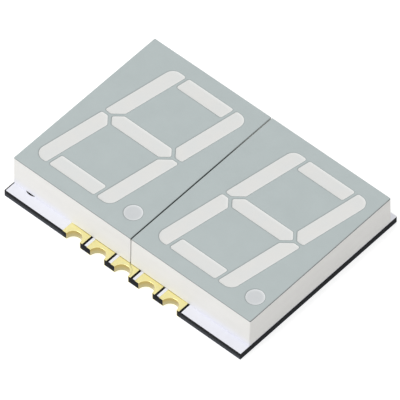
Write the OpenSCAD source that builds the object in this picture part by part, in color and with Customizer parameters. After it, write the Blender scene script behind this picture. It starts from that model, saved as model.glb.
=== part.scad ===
// Two-digit seven-segment display in a surface-mount package.
//
// Two moulded housings stand side by side on a thin printed board. Each housing has eight
// tapered cavities, for seven bars and a decimal point. A cavity holds one light-emitting
// chip and its bond wire, cast into a diffused epoxy light guide. The board's front and
// rear edges carry the terminals, which are plated half holes.
//
// The origin is the centre of the soldering plane. +X runs to the right along the digits,
// +Y towards their tops and +Z up to the viewing face. Sizes are in millimetres.

/* [Housings] */
// Width of one digit's housing
housing_w = 12.35; // [12.25:0.05:12.5]
// Depth of a housing, from its front wall to its rear wall
housing_d = 16.55; // [16:0.05:17]
// Height of a moulded housing, without the coat on its face
housing_h = 2.9; // [2.5:0.02:4]
// How far the front and rear walls lean outward from the coat down to the board
wall_flare = 0.1; // [0.02:0.02:0.2]
// Gap between the two housings
seam = 0.1; // [0.05:0.05:0.3]
// Thickness of the coat on the viewing face
coat_t = 0.04; // [0.02:0.01:0.1]
// How far the coat wraps down over the face's edges
coat_skirt_h = 0.06; // [0.05:0.01:0.3]
// Thickness of the coat where it wraps over the edges
coat_skirt_t = 0.03; // [0.02:0.01:0.06]

/* [Digits] */
// Distance between the centres of the two digits
digit_pitch = 12.7; // [12.5:0.05:12.8]
// Height of a digit over its bars
digit_h = 13.8; // [13.4:0.05:14.2]
// Width of a digit over its upright bars, before it is slanted
digit_w = 8.13; // [7.8:0.05:8.3]
// Slant of the digits in degrees
slant = 10; // [5:0.5:12]
// Width of the upright bars
upright_w = 1.4; // [1.3:0.01:1.6]
// Height of the level bars
level_h = 1.31; // [1.2:0.01:1.6]
// Clearance between neighbouring bars
bar_gap = 0.3; // [0.2:0.01:0.4]
// Clearance between an upper and a lower upright bar
waist_gap = 0.3; // [0.2:0.02:0.5]
// Height above the waist where an upright bar reaches its full width
shoulder_h = 0.9; // [0.8:0.02:1.1]
// Radius of the corners of a digit
corner_r = 0.85; // [0.5:0.05:1.2]
// Diameter of a decimal point at the face
point_d = 1.55; // [1.45:0.05:1.7]
// Decimal point to the right of its digit's centre
point_x = 4.71; // [4.6:0.01:4.8]
// Decimal point below its digit's centre
point_drop = 6.18; // [6.1:0.02:6.3]
// How far a cavity's wall leans inward from the face down to the board
cavity_inset = 0.25; // [0.15:0.01:0.28]

/* [Board] */
// Width of the board
board_w = 24.8; // [24.6:0.05:25.5]
// Depth of the board, from its front edge to its rear edge
board_d = 18.5; // [18.2:0.1:20]
// Width of the board's ledge in front of the housings
front_ledge = 1.15; // [1:0.05:1.3]
// Thickness of the board's laminate core
core_t = 0.66; // [0.3:0.02:1]
// Thickness of the pads and of the ink beside them, on each side of the core
skin_t = 0.04; // [0.04:0.01:0.08]
// Thickness of the copper tracks, which lie under the ink
foil_t = 0.02; // [0.02:0.005:0.035]
// Bare strip of laminate along the board's left edge, where the top ink stops short
bare_edge = 0.12; // [0.05:0.01:0.3]
// How far the top ink stops short of the board's front edge
ink_setback = 0.04; // [0.02:0.01:0.15]
// Radius of the ink-free spot that marks terminal 1
spot_r = 0.9; // [0.8:0.02:1]
// Distance of that spot from the board's left edge
spot_x = 1.82; // [1.5:0.02:2.5]
// Distance of that spot from the board's front edge
spot_y = 1.82; // [1.7:0.02:2]

/* [Terminals] */
// Spacing of the terminals along an edge
terminal_pitch = 2.54; // [2.5:0.01:2.56]
// Radius of a plated half hole
notch_r = 0.7; // [0.4:0.02:0.8]
// Thickness of the plating in a half hole
plating_t = 0.05; // [0.03:0.01:0.08]
// Width of a terminal's pads
pad_w = 2.09; // [1.9:0.01:2.2]
// Depth of a terminal's pads, measured in from the board's edge
pad_d = 1.3; // [1.2:0.05:1.4]
// How far the pads lie to the left of their half hole
pad_shift = 0.08; // [0:0.01:0.12]
// Width of the bare strip of laminate to the right of each pad
strip_w = 0.2; // [0.1:0.01:0.25]

/* [Chips and tracks] */
// Side of a light-emitting chip
chip_w = 0.3; // [0.2:0.02:0.34]
// Height of a chip
chip_h = 0.2; // [0.15:0.01:0.3]
// Side of the square pad under a chip
chip_pad_w = 0.4; // [0.36:0.02:0.44]
// Side of the square pad that a bond wire ends on
wire_pad_w = 0.3; // [0.26:0.02:0.34]
// Span of a bond wire in a bar
wire_span = 0.8; // [0.7:0.02:0.9]
// Span of a bond wire in a decimal point
point_wire_span = 0.5; // [0.46:0.01:0.54]
// Diameter of a bond wire
wire_d = 0.05; // [0.03:0.01:0.06]
// Diameter of the ball that joins a wire to its chip
ball_d = 0.1; // [0.08:0.01:0.14]
// Height of that ball
ball_h = 0.04; // [0.02:0.01:0.06]
// Height of a wire's loop above the top of its chip
loop_h = 0.25; // [0.2:0.01:0.4]
// Radius of the bends in a wire
bend_r = 0.1; // [0.06:0.01:0.12]
// Distance of the chips in the upright bars from the middle of the digit
upright_row = 3.2; // [2.9:0.05:3.4]
// Distance of the chips in the top and bottom bars from the middle of the digit
level_row = 6.05; // [6:0.01:6.1]
// Width of the copper tracks
track_w = 0.2; // [0.12:0.01:0.24]
// Diameter of the copper plugs that join the two sides of the board
via_d = 0.2; // [0.14:0.02:0.24]
// Diameter of the round pads on those plugs
land_d = 0.4; // [0.3:0.02:0.42]
// Offset of a level bar's feed track from its chip
feed_offset = 0.5; // [0.42:0.02:0.56]
// Left digit's feed column, to the left of the digit's centre
left_feed_x = 4.95; // [4.6:0.05:5.3]
// Right digit's feed column, to the right of the digit's centre
right_feed_x = 5.55; // [5.3:0.05:5.8]
// Distance of the links between feed columns and terminals from the digits' middle
link_row = 7.4; // [7.2:0.05:7.5]

/* [Hidden] */
$fn = 48;
BARS = ["a", "b", "c", "d", "e", "f", "g"];
SIDES = ["left", "right"];
CELLS = [0, 1, 2, 3, 4, 5, 6, 7];
POINT = 7;
PER_ROW = 5;

// Segment nets as [cell, terminal column, edge]. Columns count from the middle terminal,
// and edges are -1 for the front and 1 for the rear.
TAPS = [
    [0, -2, 1], [5, -1, 1], [6, 0, 1], [1, 1, 1],
    [4, -1, -1], [2, 0, -1], [7, 1, -1], [3, 2, -1]
];

// Overcut, so that no cut ends flush with what it cuts
over = 0.2;

// Levels from the soldering plane up
core_z = skin_t;
core_top = core_z + core_t;
board_top = core_top + skin_t;
housing_top = board_top + housing_h;
face_z = housing_top + coat_t;
chip_top = board_top + chip_h;
loop_z = chip_top + loop_h;

// Places on the board
housing_y = -board_d / 2 + front_ledge + housing_d / 2;
housing_pitch = housing_w + seam;
pad_inner_y = board_d / 2 - pad_d;

// Outline of a digit, before it is slanted
bar_out = digit_w / 2;
bar_in = bar_out - upright_w;
bar_mid = bar_out - upright_w / 2;
bar_top = digit_h / 2;
waist = waist_gap / 2;
level_half = bar_in - bar_gap;
tip = bar_in + shoulder_h - bar_gap * sqrt(2);
ARC_STEPS = 8;

// Where the outer bars' wires come down, in line with the outermost terminals
tap_x = digit_pitch / 2 - 2 * terminal_pitch;

function terminal_name(i) = str("terminal_", i);
function guide_name(side, cell) =
    str(side, cell == POINT ? "_decimal_point" : str("_segment_", BARS[cell]));
function chip_name(side, cell) = str(side, "_chip_", cell == POINT ? "point" : BARS[cell]);

function digit_x(k) = (k - 0.5) * digit_pitch;
function housing_x(k) = (k - 0.5) * housing_pitch;
function slanted(p) = [p.x + p.y * tan(slant), p.y];
function rectangle(w, d) = [[-w, -d] / 2, [w, -d] / 2, [w, d] / 2, [-w, d] / 2];

// Points of a shape reflected in the digit's axes, still counter-clockwise
function reflected(points, sx, sy) =
    let (flipped = [for (p = points) [sx * p.x, sy * p.y]], last = len(points) - 1)
    sx * sy > 0 ? flipped : [for (i = [0:last]) flipped[last - i]];

// A counter-clockwise outline with one corner rounded
function rounded(points, corner, r) =
    let (n = len(points))
    [for (i = [0:n - 1])
        let (before = points[(i + n - 1) % n], here = points[i], after = points[(i + 1) % n])
        each i == corner ? fillet(here, before - here, after - here, r) : [here]];

// The arc that rounds a corner, between its tangents to both sides
function fillet(corner, to_before, to_after, r) =
    let (u = to_before / norm(to_before), v = to_after / norm(to_after), half = acos(u * v) / 2)
    let (centre = corner + r / sin(half) * (u + v) / norm(u + v))
    let (first = corner + u * r / tan(half) - centre, start = atan2(first.y, first.x))
    [for (i = [0:ARC_STEPS]) let (angle = start + (180 - 2 * half) * i / ARC_STEPS)
        centre + r * [cos(angle), sin(angle)]];

// The upper right bar, b, before slanting and with its outer corner still sharp
upright_points = [
    [bar_in, shoulder_h], [bar_in + shoulder_h - waist, waist], [bar_out, waist],
    [bar_out, bar_top], [bar_in, bar_top]
];
// The top bar, a, before slanting
level_points = [
    [-level_half, bar_top - level_h], [level_half, bar_top - level_h],
    [level_half, bar_top], [-level_half, bar_top]
];
// The middle bar, g, before slanting
middle_points = let (h = level_h / 2)
    [[-tip, 0], [h - tip, -h], [tip - h, -h], [tip, 0], [tip - h, h], [h - tip, h]];

// The outer corner of each bar, or -1 where a bar has none
OUTER_CORNERS = [-1, 3, 1, -1, 3, 1, -1];
UPRIGHT_BARS = [
    level_points,
    upright_points,
    reflected(upright_points, 1, -1),
    reflected(level_points, 1, -1),
    reflected(upright_points, -1, -1),
    reflected(upright_points, -1, 1),
    middle_points
];
function outline(cell) =
    rounded([for (p = UPRIGHT_BARS[cell]) slanted(p)], OUTER_CORNERS[cell], corner_r);

function inward(a, b) = let (d = b - a) [-d.y, d.x] / norm(d);
function inset(points, amount) =
    let (n = len(points))
    [for (i = [0:n - 1])
        let (before = points[(i + n - 1) % n], here = points[i], after = points[(i + 1) % n])
        let (m = inward(before, here), q = inward(here, after))
        here + amount * (m + q) / (1 + m * q)];

// Where each chip sits and where its wire comes down, from the digit's centre
CHIP_AT = [
    [tap_x - wire_span, level_row],
    slanted([bar_mid, upright_row]),
    slanted([bar_mid, -upright_row]),
    [wire_span - tap_x, -level_row],
    slanted([-bar_mid, -upright_row]),
    slanted([-bar_mid, upright_row]),
    [wire_span / 2, 0],
    [point_x, point_wire_span / 2 - point_drop]
];
WIRE_AT = [
    [tap_x, level_row],
    slanted([bar_mid, upright_row - wire_span]),
    slanted([bar_mid, wire_span - upright_row]),
    [-tap_x, -level_row],
    slanted([-bar_mid, -upright_row - wire_span]),
    slanted([-bar_mid, upright_row + wire_span]),
    [-wire_span / 2, 0],
    [point_x, -point_wire_span / 2 - point_drop]
];

// Flat and solid helpers

module at_digit(k) {
    translate([digit_x(k), housing_y, 0]) children();
}

module at_terminal(column, edge) {
    translate([column * terminal_pitch, 0, 0])
        mirror([0, edge > 0 ? 1 : 0, 0])
            translate([0, -board_d / 2, 0])
                children();
}

module at_each_terminal() {
    for (column = [-2:2], edge = [-1, 1]) at_terminal(column, edge) children();
}

module slab(z0, z1) {
    translate([0, 0, z0]) linear_extrude(z1 - z0) children();
}

module track(x0, y0, x1, y1) {
    translate([min(x0, x1) - track_w / 2, min(y0, y1) - track_w / 2])
        square([abs(x1 - x0) + track_w, abs(y1 - y0) + track_w]);
}

module square_at(p, side) {
    translate(p) square(side, center = true);
}

// Section of a cavity whose wall has leaned in by an amount, in the digit's own place
module cell_section(cell, amount) {
    if (cell == POINT)
        translate([point_x, -point_drop]) circle(r = point_d / 2 - amount);
    else
        polygon(inset(outline(cell), amount));
}

// A solid between a lower and an upper outline that have the same number of points
module frustum(low, high, z0, z1) {
    n = len(low);
    polyhedron(
        points = concat([for (p = low) [p.x, p.y, z0]], [for (p = high) [p.x, p.y, z1]]),
        faces = concat(
            [[for (i = [0:n - 1]) i], [for (i = [0:n - 1]) 2 * n - 1 - i]],
            [for (i = [0:n - 1]) let (j = (i + 1) % n) [i, n + i, n + j, j]]
        )
    );
}

// What fills a cavity from the board up to its mouth
module cell_frustum(cell) {
    if (cell == POINT)
        translate([point_x, -point_drop, board_top])
            cylinder(h = housing_h, r1 = point_d / 2 - cavity_inset, r2 = point_d / 2);
    else
        frustum(inset(outline(cell), cavity_inset), outline(cell), board_top, housing_top);
}

module cell_cutter(cell) {
    cell_frustum(cell);
    slab(board_top - over, board_top) cell_section(cell, cavity_inset);
    slab(housing_top, housing_top + over) cell_section(cell, 0);
}

// Board

module board_outline() {
    square([board_w, board_d], center = true);
}

module via_places() {
    for (k = [0, 1], cell = CELLS) at_digit(k) translate(WIRE_AT[cell]) children();
    for (tap = TAPS)
        translate([tap[1] * terminal_pitch, housing_y + WIRE_AT[tap[0]].y]) children();
}

module board_core() {
    color("#2a2c31") slab(core_z, core_top) difference() {
        board_outline();
        at_each_terminal() circle(r = notch_r + plating_t);
        via_places() circle(d = via_d);
    }
}

module vias() {
    color("#b87333") slab(core_z, core_top) via_places() circle(d = via_d);
}

// Tracks that feed all eight chips of one digit from its column
module feed_tracks(k) {
    feed_x = k == 0 ? -left_feed_x : right_feed_x;
    link_y = k == 0 ? -link_row : link_row;
    top_y = level_row + feed_offset;
    bottom_y = feed_offset - level_row;
    row_y = upright_row;
    track(feed_x, min(bottom_y, link_y), feed_x, max(top_y, link_y));
    track(feed_x, top_y, CHIP_AT[0].x, top_y);
    track(CHIP_AT[0].x, top_y, CHIP_AT[0].x, level_row);
    track(min(feed_x, CHIP_AT[5].x), row_y, max(feed_x, CHIP_AT[1].x), row_y);
    track(feed_x, feed_offset, CHIP_AT[6].x, feed_offset);
    track(CHIP_AT[6].x, feed_offset, CHIP_AT[6].x, 0);
    track(min(feed_x, CHIP_AT[4].x), -row_y, max(feed_x, point_x), -row_y);
    track(point_x, -row_y, point_x, CHIP_AT[POINT].y);
    track(feed_x, bottom_y, CHIP_AT[3].x, bottom_y);
    track(CHIP_AT[3].x, bottom_y, CHIP_AT[3].x, -level_row);
    track(feed_x, link_y, (k == 0 ? 1 : -1) * tap_x, link_y);
}

module top_tracks() {
    for (k = [0, 1]) {
        column = k == 0 ? -2 : 2;
        edge = k == 0 ? -1 : 1;
        at_digit(k) feed_tracks(k);
        track(column * terminal_pitch, housing_y + edge * link_row,
            column * terminal_pitch, edge * (pad_inner_y - track_w / 2));
    }
    for (tap = TAPS) {
        x = tap[1] * terminal_pitch;
        y = housing_y + WIRE_AT[tap[0]].y;
        track(x, y, x, tap[2] * (pad_inner_y - track_w / 2));
        translate([x, y]) circle(d = land_d);
    }
}

module top_pads() {
    for (k = [0, 1], cell = CELLS) at_digit(k) {
        square_at(CHIP_AT[cell], chip_pad_w);
        square_at(WIRE_AT[cell], wire_pad_w);
    }
}

module top_foil() {
    color("#b87333") {
        slab(core_top, core_top + foil_t) top_tracks();
        slab(core_top, board_top) top_pads();
    }
}

module bottom_tracks() {
    for (cell = CELLS) {
        y = housing_y + WIRE_AT[cell].y;
        track(digit_x(0) + WIRE_AT[cell].x, y, digit_x(1) + WIRE_AT[cell].x, y);
    }
    via_places() circle(d = land_d);
}

module bottom_foil() {
    color("#b87333") slab(core_z - foil_t, core_z) bottom_tracks();
}

// Ink-free windows over the terminals, with the pads that fill most of them
module terminal_windows() {
    at_each_terminal()
        translate([-pad_w / 2 - pad_shift, -over]) square([pad_w + strip_w, pad_d + over]);
}

module top_ink() {
    color("#f3f4f8") difference() {
        slab(core_top, board_top) difference() {
            translate([bare_edge - board_w / 2, ink_setback - board_d / 2])
                square([board_w - bare_edge, board_d - ink_setback]);
            terminal_windows();
            top_pads();
            translate([spot_x - board_w / 2, spot_y - board_d / 2]) circle(r = spot_r);
        }
        slab(core_top - over, core_top + foil_t) top_tracks();
    }
}

module bottom_ink() {
    color("#f3f4f8") difference() {
        slab(0, core_z) difference() {
            board_outline();
            terminal_windows();
        }
        slab(core_z - foil_t, core_z + over) bottom_tracks();
    }
}

// Terminals, each one piece: a top pad, a bottom pad and the plated half hole between them

module pad_outline() {
    translate([-pad_w / 2 - pad_shift, 0]) square([pad_w, pad_d]);
}

module terminal(i) {
    front = i <= PER_ROW;
    middle = (PER_ROW + 1) / 2;
    column = front ? i - middle : PER_ROW + middle - i;
    color("#d9b94f") at_terminal(column, front ? -1 : 1) difference() {
        union() {
            slab(0, core_z) pad_outline();
            slab(core_top, board_top) pad_outline();
            slab(0, board_top) intersection() {
                circle(r = notch_r + plating_t);
                translate([-notch_r - over, 0]) square(2 * (notch_r + over));
            }
        }
        slab(-over, board_top + over) circle(r = notch_r);
    }
}

// Housings and their face coats

module housing_block(z0, z1, back_off) {
    slab(z0, z1)
        square([housing_w - 2 * back_off, housing_d - 2 * back_off], center = true);
}

module housing(k) {
    base = rectangle(housing_w, housing_d + 2 * wall_flare);
    top = rectangle(housing_w, housing_d);
    color("#ececea") difference() {
        translate([housing_x(k), housing_y, 0]) {
            frustum(base, top, board_top, housing_top - coat_skirt_h);
            housing_block(board_top, housing_top, coat_skirt_t);
        }
        at_digit(k) for (cell = CELLS) cell_cutter(cell);
    }
}

module face_coat(k) {
    color("#b7c2c1") difference() {
        translate([housing_x(k), housing_y, 0]) difference() {
            housing_block(housing_top - coat_skirt_h, face_z, 0);
            housing_block(housing_top - coat_skirt_h - over, housing_top, coat_skirt_t);
        }
        at_digit(k) for (cell = CELLS) slab(housing_top - over, face_z + over)
            cell_section(cell, 0);
    }
}

// Chips, wires and light guides, in the digit's own place

module chip_block(cell, sink) {
    slab(board_top - sink, chip_top) square_at(CHIP_AT[cell], chip_w);
}

module elbow() {
    rotate([90, 0, 0]) rotate_extrude(angle = 90) translate([bend_r, 0]) circle(d = wire_d);
}

module bond_wire(cell, sink) {
    run = WIRE_AT[cell] - CHIP_AT[cell];
    span = norm(run);
    translate(CHIP_AT[cell]) rotate([0, 0, atan2(run.y, run.x)]) {
        slab(chip_top - sink, chip_top + ball_h) circle(d = ball_d);
        slab(chip_top, loop_z - bend_r) circle(d = wire_d);
        translate([bend_r, 0, loop_z - bend_r]) mirror([1, 0, 0]) elbow();
        translate([bend_r, 0, loop_z]) rotate([0, 90, 0])
            cylinder(h = span - 2 * bend_r, d = wire_d);
        translate([span - bend_r, 0, loop_z - bend_r]) elbow();
        translate([span, 0, 0]) slab(board_top - sink, loop_z - bend_r) circle(d = wire_d);
    }
}

module chip(k, cell) {
    color("#c9a227") at_digit(k) chip_block(cell, 0);
}

module bond_wires(k) {
    color("#e6c35c") at_digit(k) for (cell = CELLS) bond_wire(cell, 0);
}

module light_guide(k, cell) {
    color(cell == POINT ? "#d2d5d6" : "#e5e5e4") at_digit(k) difference() {
        cell_frustum(cell);
        chip_block(cell, over);
        bond_wire(cell, over);
    }
}

board_core();
top_foil();
bottom_foil();
vias();
top_ink();
bottom_ink();
for (i = [1:2 * PER_ROW])
    terminal(i);
for (k = [0, 1]) {
    housing(k);
    face_coat(k);
    bond_wires(k);
    for (cell = CELLS) {
        light_guide(k, cell);
        chip(k, cell);
    }
}
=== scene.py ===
import math

import bmesh
import bpy
from mathutils import Matrix, Vector
from mathutils.geometry import tessellate_polygon


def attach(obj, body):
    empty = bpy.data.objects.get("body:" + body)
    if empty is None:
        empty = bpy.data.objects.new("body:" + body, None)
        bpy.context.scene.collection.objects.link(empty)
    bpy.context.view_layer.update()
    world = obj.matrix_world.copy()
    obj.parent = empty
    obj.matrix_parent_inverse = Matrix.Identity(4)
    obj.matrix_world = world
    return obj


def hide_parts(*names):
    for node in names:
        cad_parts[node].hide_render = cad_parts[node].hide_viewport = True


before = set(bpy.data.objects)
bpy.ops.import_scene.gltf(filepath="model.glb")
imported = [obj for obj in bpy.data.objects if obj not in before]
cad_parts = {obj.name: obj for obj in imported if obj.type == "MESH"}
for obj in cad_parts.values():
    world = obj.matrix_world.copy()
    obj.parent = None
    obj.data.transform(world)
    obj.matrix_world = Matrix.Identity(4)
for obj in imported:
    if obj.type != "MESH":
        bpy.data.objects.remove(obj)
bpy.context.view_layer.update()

# Laminate core of the board.
# The real piece is black woven-glass epoxy, two thirds of a millimetre thick. Its outline is
# routed, so its edges are matt and show the layers of cloth as faint bands.

MM = 0.001
BOARD_W, BOARD_TOP = 24.8, 0.74
TABS_END = 6.1


def linear(code):
    """A colour given as sRGB hex, in the linear values that shaders take."""
    channels = [int(code[i:i + 2], 16) / 255 for i in (0, 2, 4)]
    return (*[c / 12.92 if c <= 0.04045 else ((c + 0.055) / 1.055) ** 2.4 for c in channels], 1)


def feed(tree, node, inputs):
    """Gives a node its inputs, each a value or the socket of another node."""
    for name, value in inputs.items():
        if isinstance(value, bpy.types.NodeSocket):
            tree.links.new(value, node.inputs[name])
        else:
            node.inputs[name].default_value = value


def add_node(tree, kind, inputs=None, **settings):
    """Adds a node with its settings and its inputs."""
    node = tree.nodes.new(kind)
    for name, value in settings.items():
        setattr(node, name, value)
    feed(tree, node, inputs or {})
    return node


def new_material(name, plain):
    """A material, its tree, its shader and the Object coordinates. plain holds the shader's
    values that are even all over."""
    material = bpy.data.materials.new(name)
    material.use_nodes = True
    tree = material.node_tree
    shader = tree.nodes["Principled BSDF"]
    feed(tree, shader, plain)
    return material, tree, shader, add_node(tree, "ShaderNodeTexCoord").outputs["Object"]


def per_mm(size):
    """Scale at which one feature of a noise is this many millimetres across."""
    return 1 / (size * MM)


def dress(node, material):
    """Gives a CAD node its finish."""
    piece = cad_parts[node]
    piece.data.materials.clear()
    piece.data.materials.append(material)


# Black FR-4, routed: nearly black resin with paler glass where the cutter opened the cloth. The
# lower half is greyer, most of all outside the tabs; the darker edge left between the terminals
# is painted shade, and the sides are kept dark too
laminate, tree, shader, place = new_material("fr4_laminate_routed", {
    "IOR": 1.55, "Specular IOR Level": 0.12})
layers = add_node(tree, "ShaderNodeMapping", {
    "Vector": place, "Scale": (per_mm(0.9), per_mm(0.9), per_mm(0.11))})
cloth = add_node(tree, "ShaderNodeTexNoise", {
    "Vector": layers.outputs[0], "Scale": 1.0, "Detail": 3.0, "Roughness": 0.6})
split = add_node(tree, "ShaderNodeSeparateXYZ", {0: place})
from_middle = add_node(tree, "ShaderNodeMath", {0: split.outputs["X"]}, operation="ABSOLUTE")
off_side = add_node(tree, "ShaderNodeMapRange", {
    "Value": from_middle.outputs[0], "From Min": (BOARD_W / 2 - 0.01) * MM,
    "From Max": (BOARD_W / 2 - 0.04) * MM})
off_tabs = add_node(tree, "ShaderNodeMapRange", {
    "Value": from_middle.outputs[0], "From Min": (TABS_END - 0.3) * MM,
    "From Max": (TABS_END + 0.3) * MM, "To Max": off_side.outputs[0]})
# Painted shade: the edge stays darker between the terminals, and greyer outside the tabs
tab_shade_and_grey = add_node(tree, "ShaderNodeMix", {
    0: off_tabs.outputs[0], 6: linear("1b1d21"), 7: linear("3f4247")}, data_type="RGBA")
lower = add_node(tree, "ShaderNodeMapRange", {
    "Value": split.outputs["Z"], "From Min": 0.75 * BOARD_TOP * MM,
    "From Max": 0.33 * BOARD_TOP * MM})
resin = add_node(tree, "ShaderNodeMix", {
    0: lower.outputs[0], 6: linear("0d0e11"), 7: tab_shade_and_grey.outputs[2]}, data_type="RGBA")
glass = add_node(tree, "ShaderNodeMapRange", {
    "Value": cloth.outputs[0], "From Min": 0.5, "From Max": 0.75, "To Max": 0.3})
body = add_node(tree, "ShaderNodeMix", {
    0: glass.outputs[0], 6: resin.outputs[2], 7: linear("474a4f")}, data_type="RGBA")
rough = add_node(tree, "ShaderNodeMapRange", {
    "Value": cloth.outputs[0], "To Min": 0.65, "To Max": 0.9})
relief = add_node(tree, "ShaderNodeBump", {
    "Height": cloth.outputs[0], "Strength": 0.5, "Distance": 0.015 * MM})
feed(tree, shader, {
    "Base Color": body.outputs[2], "Roughness": rough.outputs[0], "Normal": relief.outputs[0]})
dress("board_core", laminate)

# Copper of the board.
# Tracks and chip pads are etched foil on both sides, joined by plugs through the core. Ink and
# housings cover all of it, so it keeps the dull salmon of copper that was cleaned and sealed.

copper, tree, shader, place = new_material("copper_etched", {"Metallic": 1.0})
tarnish = add_node(tree, "ShaderNodeTexNoise", {
    "Vector": place, "Scale": per_mm(0.6), "Detail": 4.0, "Roughness": 0.55})
tone = add_node(tree, "ShaderNodeMix", {
    0: tarnish.outputs[0], 6: linear("c7805a"), 7: linear("a0623f")}, data_type="RGBA")
rough = add_node(tree, "ShaderNodeMapRange", {
    "Value": tarnish.outputs[0], "To Min": 0.3, "To Max": 0.5})
feed(tree, shader, {"Base Color": tone.outputs[2], "Roughness": rough.outputs[0]})
for node in ("top_foil", "bottom_foil", "vias"):
    dress(node, copper)

# Solder ink of the board.
# White photo-imaged ink, screened on both sides and cured. It is satin, faintly blue, and has
# the soft pits of a thick wet film.

ink, tree, shader, place = new_material("solder_ink_white", {"IOR": 1.5})
film = add_node(tree, "ShaderNodeTexNoise", {
    "Vector": place, "Scale": per_mm(0.35), "Detail": 3.0, "Roughness": 0.5})
cast = add_node(tree, "ShaderNodeTexNoise", {
    "Vector": place, "Scale": per_mm(4.0), "Detail": 2.0})
tone = add_node(tree, "ShaderNodeMix", {
    0: cast.outputs[0], 6: linear("f6f7fc"), 7: linear("ecedf8")}, data_type="RGBA")
rough = add_node(tree, "ShaderNodeMapRange", {
    "Value": film.outputs[0], "To Min": 0.36, "To Max": 0.5})
relief = add_node(tree, "ShaderNodeBump", {
    "Height": film.outputs[0], "Strength": 0.25, "Distance": 0.006 * MM})
feed(tree, shader, {
    "Base Color": tone.outputs[2], "Roughness": rough.outputs[0], "Normal": relief.outputs[0]})
for node in ("top_ink", "bottom_ink"):
    dress(node, ink)

# Ten terminals.
# Each is one plated piece: a pad on either side of the board and the half of a plated hole that
# the router left between them. Gold over nickel follows the copper, so all its edges are soft.

BOARD_D = 18.5
TERMINAL_PITCH, PER_ROW = 2.54, 5
PAD_LEFT, PAD_RIGHT, PAD_D, PAD_T = -1.125, 0.965, 1.3, 0.04
NOTCH_R, PLATING_T = 0.7, 0.05
PAD_CORNER_R, LIP_R, EDGE_R = 0.07, 0.03, 0.012


def arc(cx, cy, r, start, end, steps):
    """Points on an arc, its ends included. Angles are in degrees."""
    angles = [math.radians(start + (end - start) * i / steps) for i in range(steps + 1)]
    return [(cx + r * math.cos(a), cy + r * math.sin(a)) for a in angles]


def bridge(bm, rings, closed=True):
    """Skins a row of rings that have the same number of points, and returns their vertices."""
    rows = [[bm.verts.new(p) for p in ring] for ring in rings]
    for low, high in zip(rows, rows[1:]):
        for i in range(len(low) if closed else len(low) - 1):
            j = (i + 1) % len(low)
            bm.faces.new((low[i], low[j], high[j], high[i]))
    return rows


def to_mesh(bm, name):
    """Turns work in millimetres into a mesh in metres, with every face outwards."""
    bmesh.ops.remove_doubles(bm, verts=bm.verts, dist=1e-5)
    bmesh.ops.recalc_face_normals(bm, faces=bm.faces)
    bmesh.ops.scale(bm, vec=(MM, MM, MM), verts=bm.verts)
    mesh = bpy.data.meshes.new(name)
    bm.to_mesh(mesh)
    bm.free()
    return mesh


def add_piece(name, mesh, material, slot, *nodes):
    """Puts a finished mesh on the part's one body, in place of the CAD nodes it stands for."""
    mesh.materials.clear()
    mesh.materials.append(material)
    mesh.shade_smooth()
    mesh.set_sharp_from_angle(angle=math.radians(40))
    piece = bpy.data.objects.new(name, mesh)
    bpy.context.scene.collection.objects.link(piece)
    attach(piece, "root")
    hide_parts(*nodes)
    return piece


# One terminal, lofted round its half hole from the right end to the left. The pads' outline is
# sampled densely, so that the hole comes out round
corner_x = (PAD_RIGHT - PAD_CORNER_R, PAD_LEFT + PAD_CORNER_R)
corner_y = PAD_D - PAD_CORNER_R
rim = [(PAD_RIGHT, corner_y * i / 8) for i in range(8)]
rim += arc(corner_x[0], corner_y, PAD_CORNER_R, 0, 90, 4)
rim += [(corner_x[0] + (corner_x[1] - corner_x[0]) * i / 12, PAD_D) for i in range(1, 12)]
rim += arc(corner_x[1], corner_y, PAD_CORNER_R, 90, 180, 4)
rim += [(PAD_LEFT, corner_y * i / 8) for i in range(7, -1, -1)]
upper_lip = arc(NOTCH_R + LIP_R, BOARD_TOP - LIP_R, LIP_R, 180, 90, 4)
sections = []
for x, y in rim:
    reach = math.hypot(x, y)
    pad_edge = arc(reach - EDGE_R, BOARD_TOP - EDGE_R, EDGE_R, 90, 0, 2)
    upper = upper_lip + pad_edge + [
        (reach, BOARD_TOP - PAD_T), (NOTCH_R + PLATING_T, BOARD_TOP - PAD_T)]
    lower = [(r, BOARD_TOP - z) for r, z in reversed(upper)]
    sections.append([(r * x / reach, r * y / reach, z) for r, z in upper + lower])
bm = bmesh.new()
rows = bridge(bm, sections)
bm.faces.new(rows[0])
bm.faces.new(rows[-1])
terminal_mesh = to_mesh(bm, "terminal")

# Gold over nickel: bright enough to mirror the wall, and paler where it is thinnest. Inside
# the half holes it is browner, with painted shade under the top edge and a painted reflection
# that pales it towards the foot
gold, tree, shader, place = new_material("gold_over_nickel", {"Metallic": 1.0})
grain = add_node(tree, "ShaderNodeTexNoise", {
    "Vector": place, "Scale": per_mm(0.12), "Detail": 3.0, "Roughness": 0.6})
drift = add_node(tree, "ShaderNodeTexNoise", {
    "Vector": place, "Scale": per_mm(1.5), "Detail": 2.0})
tone = add_node(tree, "ShaderNodeMix", {
    0: drift.outputs[0], 6: linear("fffac4"), 7: linear("fff2a6")}, data_type="RGBA")
split = add_node(tree, "ShaderNodeSeparateXYZ", {0: place})
below_top = add_node(tree, "ShaderNodeMapRange", {
    "Value": split.outputs["Z"], "From Min": (BOARD_TOP - 0.01) * MM,
    "From Max": (BOARD_TOP - 0.03) * MM})
above_foot = add_node(tree, "ShaderNodeMapRange", {
    "Value": split.outputs["Z"], "From Min": 0.01 * MM, "From Max": 0.03 * MM})
in_hole = add_node(tree, "ShaderNodeMath", {0: below_top.outputs[0], 1: above_foot.outputs[0]},
                   operation="MULTIPLY")
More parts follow.
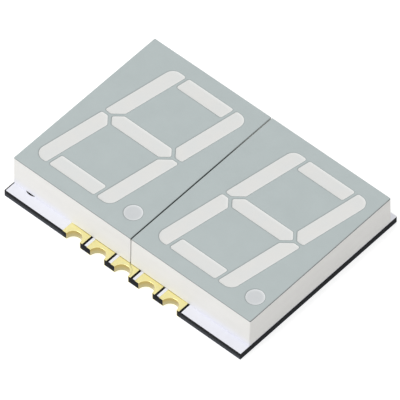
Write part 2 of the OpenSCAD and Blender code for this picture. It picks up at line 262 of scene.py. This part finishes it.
# Painted shade and reflection in the half holes: darker brown at the top, paler at the foot
depth = add_node(tree, "ShaderNodeMapRange", {
    "Value": split.outputs["Z"], "From Min": BOARD_TOP * MM, "From Max": 0.1 * MM})
hole_shade_and_reflection = add_node(tree, "ShaderNodeMix", {
    0: depth.outputs[0], 6: linear("ac964d"), 7: linear("b8b088")}, data_type="RGBA")
whole = add_node(tree, "ShaderNodeMix", {
    0: in_hole.outputs[0], 6: tone.outputs[2], 7: hole_shade_and_reflection.outputs[2]}, data_type="RGBA")
rough = add_node(tree, "ShaderNodeMapRange", {
    "Value": grain.outputs[0], "To Min": 0.08, "To Max": 0.2})
relief = add_node(tree, "ShaderNodeBump", {
    "Height": grain.outputs[0], "Strength": 0.3, "Distance": 0.004 * MM})
feed(tree, shader, {
    "Base Color": whole.outputs[2], "Roughness": rough.outputs[0], "Normal": relief.outputs[0]})

# Both rows: copies of the one terminal along the front edge, and along the rear edge mirrored
rows_tree = bpy.data.node_groups.new("terminal_rows", "GeometryNodeTree")
rows_tree.interface.new_socket("Geometry", in_out="INPUT", socket_type="NodeSocketGeometry")
for name, kind in (("Per Row", "Int"), ("Pitch", "Float"), ("Board Depth", "Float"),
                   ("Plating", "Material")):
    rows_tree.interface.new_socket(name, in_out="INPUT", socket_type="NodeSocket" + kind)
rows_tree.interface.new_socket("Geometry", in_out="OUTPUT", socket_type="NodeSocketGeometry")
given = add_node(rows_tree, "NodeGroupInput").outputs
gaps = add_node(rows_tree, "ShaderNodeMath", {0: given["Per Row"], 1: 1.0}, operation="SUBTRACT")
span = add_node(rows_tree, "ShaderNodeMath", {0: gaps.outputs[0], 1: given["Pitch"]},
                operation="MULTIPLY")
first_x = add_node(rows_tree, "ShaderNodeMath", {0: span.outputs[0], 1: -0.5},
                   operation="MULTIPLY")
first_y = add_node(rows_tree, "ShaderNodeMath", {0: given["Board Depth"], 1: -0.5},
                   operation="MULTIPLY")
start = add_node(rows_tree, "ShaderNodeCombineXYZ", {
    "X": first_x.outputs[0], "Y": first_y.outputs[0]})
step = add_node(rows_tree, "ShaderNodeCombineXYZ", {"X": given["Pitch"]})
places = add_node(rows_tree, "GeometryNodeMeshLine", {
    "Count": given["Per Row"], "Start Location": start.outputs[0], "Offset": step.outputs[0]},
    mode="OFFSET")
front_row = add_node(rows_tree, "GeometryNodeInstanceOnPoints", {
    "Points": places.outputs[0], "Instance": given["Geometry"]})
front_real = add_node(rows_tree, "GeometryNodeRealizeInstances", {0: front_row.outputs[0]})
mirrored = add_node(rows_tree, "GeometryNodeTransform", {
    "Geometry": front_real.outputs[0], "Scale": (1.0, -1.0, 1.0)})
rear_row = add_node(rows_tree, "GeometryNodeFlipFaces", {"Mesh": mirrored.outputs[0]})
both = add_node(rows_tree, "GeometryNodeJoinGeometry", {0: front_row.outputs[0]})
rows_tree.links.new(rear_row.outputs[0], both.inputs[0])
real = add_node(rows_tree, "GeometryNodeRealizeInstances", {0: both.outputs[0]})
plated = add_node(rows_tree, "GeometryNodeSetMaterial", {
    "Geometry": real.outputs[0], "Material": given["Plating"]})
add_node(rows_tree, "NodeGroupOutput", {0: plated.outputs[0]})


def run_nodes(mesh, tree, values):
    """Runs a Geometry Nodes tree on a mesh and returns the plain mesh that comes out."""
    carrier = bpy.data.objects.new("carrier", mesh)
    bpy.context.scene.collection.objects.link(carrier)
    modifier = carrier.modifiers.new("nodes", "NODES")
    modifier.node_group = tree
    sockets = {s.name: s.identifier for s in tree.interface.items_tree if s.in_out == "INPUT"}
    for name, value in values.items():
        modifier[sockets[name]] = value
    seen = carrier.evaluated_get(bpy.context.evaluated_depsgraph_get())
    made = bpy.data.meshes.new_from_object(seen)
    bpy.data.objects.remove(carrier)
    return made


terminals = run_nodes(terminal_mesh, rows_tree, {
    "Per Row": PER_ROW, "Pitch": TERMINAL_PITCH * MM, "Board Depth": BOARD_D * MM,
    "Plating": gold})
add_piece("terminals", terminals, gold, "gold_plating",
          *[f"terminal_{i}" for i in range(1, 2 * PER_ROW + 1)])

# Chips and bond wires.
# Sixteen sawn crystals sit on their pads, each with one gold wire from its top to the pad beside
# it. The cast epoxy hides them.

crystal, tree, shader, place = new_material("chip_crystal_sawn", {"IOR": 3.3})
saw = add_node(tree, "ShaderNodeTexNoise", {
    "Vector": place, "Scale": per_mm(0.02), "Detail": 2.0})
tone = add_node(tree, "ShaderNodeMix", {
    0: saw.outputs[0], 6: linear("c9a227"), 7: linear("8f7424")}, data_type="RGBA")
rough = add_node(tree, "ShaderNodeMapRange", {
    "Value": saw.outputs[0], "To Min": 0.2, "To Max": 0.45})
feed(tree, shader, {"Base Color": tone.outputs[2], "Roughness": rough.outputs[0]})

wire_gold, tree, shader, place = new_material("gold_wire_drawn", {"Metallic": 1.0})
draw_lines = add_node(tree, "ShaderNodeTexNoise", {
    "Vector": place, "Scale": per_mm(0.03), "Detail": 2.0})
tone = add_node(tree, "ShaderNodeMix", {
    0: draw_lines.outputs[0], 6: linear("f2cf70"), 7: linear("dcb350")}, data_type="RGBA")
rough = add_node(tree, "ShaderNodeMapRange", {
    "Value": draw_lines.outputs[0], "To Min": 0.12, "To Max": 0.25})
feed(tree, shader, {"Base Color": tone.outputs[2], "Roughness": rough.outputs[0]})
for side in ("left", "right"):
    dress(f"{side}_bond_wires", wire_gold)
    for cell in ("a", "b", "c", "d", "e", "f", "g", "point"):
        dress(f"{side}_chip_{cell}", crystal)

# Two housings.
# White reflective polyamide, filled with titania and moulded with eight cavities. It comes off
# a fine spark-eroded tool, so it is matt, and melt flow leaves faint streaks along the walls.

HOUSING_W, HOUSING_D, HOUSING_TOP, SEAM = 12.35, 16.55, 3.64, 0.1
HOUSING_Y = 0.175
HOUSING_X = {"left": -(HOUSING_W + SEAM) / 2, "right": (HOUSING_W + SEAM) / 2}
FRONT_Y, SIDE_X = HOUSING_Y - HOUSING_D / 2, HOUSING_W + SEAM / 2
COAT_T, SKIRT_H, SKIRT_T = 0.04, 0.06, 0.03
WALL_FLARE, FOOT_R = 0.1, 0.03
UPRIGHT_EDGE_R, SEAM_EDGE_R, SHARPEST_EDGE_R = 0.08, 0.03, 0.01
DIGIT_X = {"left": -6.35, "right": 6.35}
DIGIT_W, DIGIT_H, SLANT = 8.13, 13.8, math.tan(math.radians(10))
UPRIGHT_W, LEVEL_H = 1.4, 1.31
CORNER_R, BAR_CORNER_R, SHARPEST_CORNER_R = 0.85, 0.18, 0.02
BAR_GAP, WAIST, SHOULDER_H = 0.3, 0.15, 0.9
POINT_R, POINT_X, POINT_Y = 0.775, 4.71, -6.18
CAVITY_INSET = 0.25


def mirrored_outline(points, sx, sy):
    """The outline reflected in the digit's axes, still counter-clockwise."""
    flipped = [(sx * x, sy * y) for x, y in points]
    return flipped if sx * sy > 0 else flipped[::-1]


def inset(points, amount):
    """A counter-clockwise outline moved inwards by an amount, or outwards if it is negative."""
    moved = []
    for i, here in enumerate(points):
        a = (Vector(here) - Vector(points[i - 1])).normalized()
        b = (Vector(points[(i + 1) % len(points)]) - Vector(here)).normalized()
        m, q = Vector((-a.y, a.x)), Vector((-b.y, b.x))
        moved.append(tuple(Vector(here) + amount * (m + q) / (1 + m.dot(q))))
    return moved


def mouth(form, amount):
    """Outline of an opening moved inwards by an amount. A form is its points and the radius of
    each corner, or None where the points are smooth already."""
    points, radii = form
    moved = inset(points, amount)
    if not radii:
        return moved
    outline = []
    for i, r in enumerate(radii):
        corner = Vector(moved[i])
        u = (Vector(moved[i - 1]) - corner).normalized()
        v = (Vector(moved[(i + 1) % len(moved)]) - corner).normalized()
        half, bend = u.angle(v) / 2, max(r - amount, SHARPEST_CORNER_R)
        centre = corner + bend / math.sin(half) * (u + v).normalized()
        first = corner + u * bend / math.tan(half) - centre
        start = math.degrees(math.atan2(first.y, first.x))
        end = start + 180 - 2 * math.degrees(half)
        outline += arc(*centre, bend, start, end, 12 if r == CORNER_R else 4)
    return outline


def level(points, z, dx=0.0, dy=0.0):
    """A flat outline put at a height."""
    return [(x + dx, y + dy, z) for x, y in points]


def rounded_block(side, shrink, flare=0.0):
    """Outline of a housing moved inwards by shrink, with its front and rear walls moved out by
    flare. The upright edges are sharper at the seam."""
    radii = [max(r - shrink, SHARPEST_EDGE_R) for r in (UPRIGHT_EDGE_R, SEAM_EDGE_R)]
    left, right = radii if side == "left" else radii[::-1]
    x, y = HOUSING_W / 2 - shrink, HOUSING_D / 2 - shrink + flare
    return (arc(x - right, right - y, right, -90, 0, 5) + arc(x - right, y - right, right, 0, 90, 5)
            + arc(left - x, y - left, left, 90, 180, 5)
            + arc(left - x, left - y, left, 180, 270, 5))


def pierced_block(outer, holes):
    """A closed solid from its outer rings, lowest face first, and its holes' rings from the top
    face down."""
    bm = bmesh.new()
    skins = [bridge(bm, outer)] + [bridge(bm, rings) for rings in holes]
    for top in (True, False):
        loops = [skins[0][-1] if top else skins[0][0]]
        loops += [skin[0] if top else skin[-1] for skin in skins[1:]]
        flat = [v for loop in loops for v in loop]
        for a, b, c in tessellate_polygon([[v.co for v in loop] for loop in loops]):
            bm.faces.new((flat[a], flat[b], flat[c]))
    return bm


bar_out, bar_top = DIGIT_W / 2, DIGIT_H / 2
bar_in = bar_out - UPRIGHT_W
level_half = bar_in - BAR_GAP
tip, half = bar_in + SHOULDER_H - BAR_GAP * math.sqrt(2), LEVEL_H / 2
upright = [(bar_in, SHOULDER_H), (bar_in + SHOULDER_H - WAIST, WAIST), (bar_out, WAIST),
           (bar_out, bar_top), (bar_in, bar_top)]
top_bar = [(-level_half, bar_top - LEVEL_H), (level_half, bar_top - LEVEL_H),
           (level_half, bar_top), (-level_half, bar_top)]
middle_bar = [(-tip, 0), (half - tip, -half), (tip - half, -half),
              (tip, 0), (tip - half, half), (half - tip, half)]
upright_forms = {
    "segment_a": (top_bar, None),
    "segment_b": (upright, 3),
    "segment_c": (mirrored_outline(upright, 1, -1), 1),
    "segment_d": (mirrored_outline(top_bar, 1, -1), None),
    "segment_e": (mirrored_outline(upright, -1, -1), 3),
    "segment_f": (mirrored_outline(upright, -1, 1), 1),
    "segment_g": (middle_bar, None),
}
openings = {name: ([(x + y * SLANT, y) for x, y in points],
                   [CORNER_R if i == outer else BAR_CORNER_R for i in range(len(points))])
            for name, (points, outer) in upright_forms.items()}
openings["decimal_point"] = (arc(POINT_X, POINT_Y, POINT_R, 0, 352.5, 47), None)

# Moulded polyamide: warm white, matt, with streaks of flow and the tool's fine grain. The front
# wall's foot is painted bluer, as light bounced off the ink; a brownish line along it behind the
# pads is a painted contact shadow tinted by the gold's reflection; and the seam's walls are
# painted dark grey just below the coat, most towards the front, as the gap's shade
moulding, tree, shader, place = new_material("polyamide_moulded_white", {"IOR": 1.53})
stretched = add_node(tree, "ShaderNodeMapping", {
    "Vector": place, "Scale": (per_mm(3.0), per_mm(3.0), per_mm(0.7))})
flow = add_node(tree, "ShaderNodeTexNoise", {
    "Vector": stretched.outputs[0], "Scale": 1.0, "Detail": 4.0, "Roughness": 0.5})
tool = add_node(tree, "ShaderNodeTexNoise", {
    "Vector": place, "Scale": per_mm(0.09), "Detail": 3.0, "Roughness": 0.6})
tone = add_node(tree, "ShaderNodeMix", {
    0: flow.outputs[0], 6: linear("eeedea"), 7: linear("e6e5e2")}, data_type="RGBA")
rough = add_node(tree, "ShaderNodeMapRange", {
    "Value": tool.outputs[0], "To Min": 0.48, "To Max": 0.66})
relief = add_node(tree, "ShaderNodeBump", {
    "Height": tool.outputs[0], "Strength": 0.3, "Distance": 0.006 * MM})
split = add_node(tree, "ShaderNodeSeparateXYZ", {0: place})
off_seam = add_node(tree, "ShaderNodeMath", {0: split.outputs["X"]}, operation="ABSOLUTE")
# Painted shade in the seam: dark grey on its walls just below the coat, fading to the rear
at_seam = add_node(tree, "ShaderNodeMapRange", {
    "Value": off_seam.outputs[0], "From Min": (SEAM / 2 + 0.012) * MM,
    "From Max": (SEAM / 2 + 0.002) * MM})
deep = add_node(tree, "ShaderNodeMapRange", {
    "Value": split.outputs["Z"], "From Min": (HOUSING_TOP - 0.3) * MM,
    "From Max": (HOUSING_TOP - 0.15) * MM})
forward = add_node(tree, "ShaderNodeMapRange", {
    "Value": split.outputs["Y"], "From Min": 6 * MM, "From Max": 2 * MM})
seam_painted_shade = add_node(tree, "ShaderNodeMath", {0: at_seam.outputs[0], 1: deep.outputs[0]},
                  operation="MULTIPLY")
seam_painted_shade = add_node(tree, "ShaderNodeMath", {0: seam_painted_shade.outputs[0], 1: forward.outputs[0]},
                  operation="MULTIPLY")
# Painted bounce light: the front wall turns bluer towards its foot, away from the pads
front = add_node(tree, "ShaderNodeMapRange", {
    "Value": split.outputs["Y"], "From Min": (FRONT_Y + 0.1) * MM,
    "From Max": (FRONT_Y + 0.03) * MM})
off_pads = add_node(tree, "ShaderNodeMapRange", {
    "Value": off_seam.outputs[0], "From Min": (TABS_END - 1.5) * MM,
    "From Max": (TABS_END + 1.5) * MM, "To Max": front.outputs[0]})
foot_painted_bounce = add_node(tree, "ShaderNodeMapRange", {
    "Value": split.outputs["Z"], "From Min": (BOARD_TOP + 0.75) * MM,
    "From Max": BOARD_TOP * MM, "To Max": off_pads.outputs[0]})
body = add_node(tree, "ShaderNodeMix", {
    0: foot_painted_bounce.outputs[0], 6: tone.outputs[2], 7: linear("eaebf3")}, data_type="RGBA")
# Painted contact shadow: a brownish line along the foot behind the pads, warmed like gold
by_pads = add_node(tree, "ShaderNodeMapRange", {
    "Value": off_seam.outputs[0], "From Min": TABS_END * MM, "From Max": (TABS_END - 1) * MM})
pad_contact_shadow = add_node(tree, "ShaderNodeMapRange", {
    "Value": split.outputs["Z"], "From Min": (BOARD_TOP + 0.07) * MM,
    "From Max": (BOARD_TOP + 0.03) * MM, "To Max": by_pads.outputs[0]})
body = add_node(tree, "ShaderNodeMix", {
    0: pad_contact_shadow.outputs[0], 6: body.outputs[2], 7: linear("b5ae98")}, data_type="RGBA")
whole = add_node(tree, "ShaderNodeMix", {
    0: seam_painted_shade.outputs[0], 6: body.outputs[2], 7: linear("4d5353")}, data_type="RGBA")
feed(tree, shader, {
    "Base Color": whole.outputs[2], "Roughness": rough.outputs[0], "Normal": relief.outputs[0]})

for side in ("left", "right"):
    shift = (HOUSING_X[side], HOUSING_Y)
    walls = [level(rounded_block(side, back, flare), z, *shift) for back, flare, z in (
        (FOOT_R, WALL_FLARE, BOARD_TOP), (0, 0.98 * WALL_FLARE, BOARD_TOP + FOOT_R),
        (0, 0, HOUSING_TOP - SKIRT_H), (SKIRT_T, 0, HOUSING_TOP - SKIRT_H),
        (SKIRT_T, 0, HOUSING_TOP))]
    cavities = [[level(mouth(form, 0), HOUSING_TOP, DIGIT_X[side], HOUSING_Y),
                 level(mouth(form, CAVITY_INSET), BOARD_TOP, DIGIT_X[side], HOUSING_Y)]
                for form in openings.values()]
    block = to_mesh(pierced_block(walls, cavities), f"{side}_housing_block")
    add_piece(f"{side}_housing_block", block, moulding, "housing_moulding", f"{side}_housing")

# Coat on the viewing faces.
# Grey matt paint, printed on each housing's face before the cavities are filled. It rounds over
# the outer edges, ends just below them on the walls, and thins towards the openings.

FACE_Z, SKIRT_Z = HOUSING_TOP + COAT_T, HOUSING_TOP - SKIRT_H
ROLL_R, ROLL_MARGIN = 0.05, 0.08
# Steps down into an opening: how far outside it, and how far below the face
OPENING_LIP = ((0.13, 0), (0.115, 0), (0.035, 0.006), (0.012, 0.028), (0, 0.038), (0, COAT_T))

# Matt paint: cool grey with a fine grain, mottled by how thickly the print lies. Painted shade
# makes it darker round the openings and over the outer edges, most at the front, and nearly
# black on the outer sides
paint, tree, shader, place = new_material("paint_matt_grey", {"IOR": 1.5})
mottle = add_node(tree, "ShaderNodeTexNoise", {
    "Vector": place, "Scale": per_mm(1.6), "Detail": 4.0, "Roughness": 0.55})
grain = add_node(tree, "ShaderNodeTexNoise", {
    "Vector": place, "Scale": per_mm(0.07), "Detail": 2.0, "Roughness": 0.6})
tone = add_node(tree, "ShaderNodeMix", {
    0: mottle.outputs[0], 6: linear("b5bfbf"), 7: linear("bec8c8")}, data_type="RGBA")
split = add_node(tree, "ShaderNodeSeparateXYZ", {0: place})
# Painted shade: darker where the coat steps down into an opening
lip_painted_shade = add_node(tree, "ShaderNodeMapRange", {
    "Value": split.outputs["Z"], "From Min": (FACE_Z - 0.0005) * MM,
    "From Max": (FACE_Z - 0.006) * MM})
face = add_node(tree, "ShaderNodeMix", {
    0: lip_painted_shade.outputs[0], 6: tone.outputs[2], 7: linear("aab3b3")}, data_type="RGBA")
# Painted shade over the outer edges, heavier at the front than at the rear
rearward = add_node(tree, "ShaderNodeMapRange", {
    "Value": split.outputs["Y"], "From Max": 8 * MM})
edge_painted_shade = add_node(tree, "ShaderNodeMix", {
    0: rearward.outputs[0], 6: linear("848b8b"), 7: linear("abb3b3")}, data_type="RGBA")
# Painted shade: nearly black on the outer sides of the housings
from_middle = add_node(tree, "ShaderNodeMath", {0: split.outputs["X"]}, operation="ABSOLUTE")
side_painted_shade = add_node(tree, "ShaderNodeMapRange", {
    "Value": from_middle.outputs[0], "From Min": (SIDE_X - 0.1) * MM,
    "From Max": (SIDE_X - 0.06) * MM})
edge = add_node(tree, "ShaderNodeMix", {
    0: side_painted_shade.outputs[0], 6: edge_painted_shade.outputs[2], 7: linear("2a2d2d")}, data_type="RGBA")
over_edge = add_node(tree, "ShaderNodeMapRange", {
    "Value": split.outputs["Z"], "From Min": (FACE_Z - 0.006) * MM,
    "From Max": (FACE_Z - ROLL_R) * MM})
whole = add_node(tree, "ShaderNodeMix", {
    0: over_edge.outputs[0], 6: face.outputs[2], 7: edge.outputs[2]}, data_type="RGBA")
rough = add_node(tree, "ShaderNodeMapRange", {
    "Value": grain.outputs[0], "To Min": 0.5, "To Max": 0.68})
relief = add_node(tree, "ShaderNodeBump", {
    "Height": grain.outputs[0], "Strength": 0.25, "Distance": 0.004 * MM})
feed(tree, shader, {
    "Base Color": whole.outputs[2], "Roughness": rough.outputs[0], "Normal": relief.outputs[0]})

for side in ("left", "right"):
    shift = (HOUSING_X[side], HOUSING_Y)
    wrap = [(SKIRT_T, HOUSING_TOP), (SKIRT_T, SKIRT_Z), (0, SKIRT_Z), (0, FACE_Z - ROLL_R)]
    wrap += [(ROLL_R - x, FACE_Z - ROLL_R + z) for x, z in arc(0, 0, ROLL_R, 15, 90, 5)]
    wrap += [(ROLL_R + ROLL_MARGIN, FACE_Z)]
    cap = [level(rounded_block(side, back), z, *shift) for back, z in wrap]
    mouths = [[level(mouth(form, -out), FACE_Z - drop, DIGIT_X[side], HOUSING_Y)
               for out, drop in OPENING_LIP] for form in openings.values()]
    skin = to_mesh(pierced_block(cap, mouths), f"{side}_coat_printed")
    add_piece(f"{side}_coat_printed", skin, paint, "face_coat", f"{side}_face_coat")

# Bars and decimal points.
# White diffused epoxy, cast into the cavities from the face. It shrinks as it cures, which
# leaves a shallow dish with a rim that clings to the coat's edge.

# Steps across the dish: how far inside the opening, and how far above the housing's top
DISH = ((0.0, 0.015), (0.04, 0.0), (0.12, -0.014), (0.22, -0.021), (0.34, -0.024))


def cast_in(form, side):
    """A light guide: the cavity's own shape with a dished top."""
    rings = [level(mouth(form, CAVITY_INSET), BOARD_TOP, DIGIT_X[side], HOUSING_Y)]
    rings += [level(mouth(form, back), HOUSING_TOP + rise, DIGIT_X[side], HOUSING_Y)
              for back, rise in DISH]
    bm = bmesh.new()
    rows = bridge(bm, rings)
    bm.faces.new(rows[0])
    bm.faces.new(rows[-1])
    return bm


def epoxy(name, pale, deep, rim):
    """Diffused casting epoxy: satin, clouded by how the filler settled, and painted paler on its
    rim as a highlight.
    """
    material, tree, shader, place = new_material(name, {"IOR": 1.51})
    cloud = add_node(tree, "ShaderNodeTexNoise", {
        "Vector": place, "Scale": per_mm(1.3), "Detail": 3.0, "Roughness": 0.5})
    skin = add_node(tree, "ShaderNodeTexNoise", {
        "Vector": place, "Scale": per_mm(0.2), "Detail": 2.0})
    tone = add_node(tree, "ShaderNodeMix", {
        0: cloud.outputs[0], 6: linear(pale), 7: linear(deep)}, data_type="RGBA")
    split = add_node(tree, "ShaderNodeSeparateXYZ", {0: place})
    # Painted highlight: the dish's rim is paler
    rim_painted_highlight = add_node(tree, "ShaderNodeMapRange", {
        "Value": split.outputs["Z"], "From Min": (HOUSING_TOP - 0.022) * MM,
        "From Max": (HOUSING_TOP + 0.002) * MM})
    body = add_node(tree, "ShaderNodeMix", {
        0: rim_painted_highlight.outputs[0], 6: tone.outputs[2], 7: linear(rim)}, data_type="RGBA")
    rough = add_node(tree, "ShaderNodeMapRange", {
        "Value": skin.outputs[0], "To Min": 0.34, "To Max": 0.48})
    relief = add_node(tree, "ShaderNodeBump", {
        "Height": skin.outputs[0], "Strength": 0.2, "Distance": 0.005 * MM})
    feed(tree, shader, {
        "Base Color": body.outputs[2], "Roughness": rough.outputs[0], "Normal": relief.outputs[0]})
    return material


bar_epoxy = epoxy("epoxy_diffused_bar", "ebe9e5", "e3e6e6", "ecedeb")
point_epoxy = epoxy("epoxy_diffused_point", "d8dadc", "d0d4d6", "e7eaeb")
for side in ("left", "right"):
    for cell, form in openings.items():
        name = f"{side}_{cell}_cast"
        point = cell == "decimal_point"
        add_piece(name, to_mesh(cast_in(form, side), name), point_epoxy if point else bar_epoxy,
                  "point_epoxy" if point else "bar_epoxy", f"{side}_{cell}")

# Studio.
# A pale floor and an even white surround, with one large soft lamp from the front left that
# leaves the right wall in light shade. The camera stands where the photograph was taken.

SURROUND, FLOOR_LIFT, FLOOR_SIZE = 0.74, 0.55, 1.5
LAMP_SHARE, LAMP_DISTANCE, LAMP_SIZE = 0.36, 0.3, 0.22
CAMERA_AZIMUTH, CAMERA_ELEVATION, CAMERA_ROLL = 41.84, 50.4, -0.076
CAMERA_DISTANCE, FOCAL_PX, FRAME_PX, SENSOR_W = 609.7, 7790.5, 400, 36
OFFSET_RIGHT, OFFSET_UP = -0.143, -1.744


def seen_directly(tree):
    """1 for what the camera sees itself, or in metal or through glass, and 0 for other light."""
    ray = add_node(tree, "ShaderNodeLightPath").outputs
    seen = add_node(tree, "ShaderNodeMath", {0: ray["Is Camera Ray"], 1: ray["Is Glossy Ray"]},
                    operation="MAXIMUM")
    return add_node(tree, "ShaderNodeMath", {
        0: seen.outputs[0], 1: ray["Is Transmission Ray"]}, operation="MAXIMUM").outputs[0]


world = bpy.data.worlds.new("surround")
bpy.context.scene.world = world
world.use_nodes = True
tree = world.node_tree
tree.nodes.clear()
soft = add_node(tree, "ShaderNodeBackground", {"Color": (1, 1, 1, 1), "Strength": SURROUND})
white = add_node(tree, "ShaderNodeBackground", {"Color": (1, 1, 1, 1), "Strength": 1.0})
choice = add_node(tree, "ShaderNodeMixShader", {
    0: seen_directly(tree), 1: soft.outputs[0], 2: white.outputs[0]})
add_node(tree, "ShaderNodeOutputWorld", {0: choice.outputs[0]})

bm = bmesh.new()
bmesh.ops.create_grid(bm, x_segments=1, y_segments=1, size=FLOOR_SIZE)
bmesh.ops.translate(bm, vec=(0, 0, -0.02 * MM), verts=bm.verts)
floor_mesh = bpy.data.meshes.new("floor")
bm.to_mesh(floor_mesh)
bm.free()
floor = bpy.data.objects.new("floor", floor_mesh)
bpy.context.scene.collection.objects.link(floor)
paper = bpy.data.materials.new("paper_pale")
paper.use_nodes = True
tree = paper.node_tree
tree.nodes.clear()
lift = add_node(tree, "ShaderNodeMath", {0: seen_directly(tree), 1: FLOOR_LIFT},
                operation="MULTIPLY")
matt = add_node(tree, "ShaderNodeBsdfDiffuse", {"Color": (0.8, 0.8, 0.8, 1)})
glow = add_node(tree, "ShaderNodeEmission", {
    "Color": (1, 1, 1, 1), "Strength": lift.outputs[0]})
sheet = add_node(tree, "ShaderNodeAddShader", {0: matt.outputs[0], 1: glow.outputs[0]})
add_node(tree, "ShaderNodeOutputMaterial", {0: sheet.outputs[0]})
floor_mesh.materials.append(paper)

lamp = bpy.data.lights.new("soft_lamp", "AREA")
lamp.shape, lamp.size = "SQUARE", LAMP_SIZE
lamp.energy = LAMP_SHARE * (math.pi * LAMP_DISTANCE) ** 2
lamp_object = bpy.data.objects.new("soft_lamp", lamp)
bpy.context.scene.collection.objects.link(lamp_object)
towards_lamp = Vector((-0.35, -0.72, 0.6)).normalized()
lamp_object.location = towards_lamp * LAMP_DISTANCE
lamp_object.rotation_euler = towards_lamp.to_track_quat("Z", "Y").to_euler()

azimuth, elevation = math.radians(CAMERA_AZIMUTH), math.radians(CAMERA_ELEVATION)
roll = math.radians(CAMERA_ROLL)
back = Vector((math.sin(azimuth) * math.cos(elevation),
               -math.cos(azimuth) * math.cos(elevation), math.sin(elevation)))
right = Vector((math.cos(azimuth), math.sin(azimuth), 0))
up = back.cross(right)
camera_right = right * math.cos(roll) + up * math.sin(roll)
camera_up = up * math.cos(roll) - right * math.sin(roll)
face_centre = Vector((0, HOUSING_Y, FACE_Z))
eye = face_centre + OFFSET_RIGHT * camera_right + OFFSET_UP * camera_up + CAMERA_DISTANCE * back
camera_data = bpy.data.cameras.new("camera")
camera_data.sensor_width = SENSOR_W
camera_data.lens = SENSOR_W * FOCAL_PX / FRAME_PX
camera_data.clip_start, camera_data.clip_end = 0.05, 10
camera = bpy.data.objects.new("camera", camera_data)
bpy.context.scene.collection.objects.link(camera)
turned = Matrix((camera_right, camera_up, back)).transposed().to_4x4()
camera.matrix_world = Matrix.Translation(eye * MM) @ turned
bpy.context.scene.camera = camera
bpy.context.scene.view_settings.view_transform = "Standard"
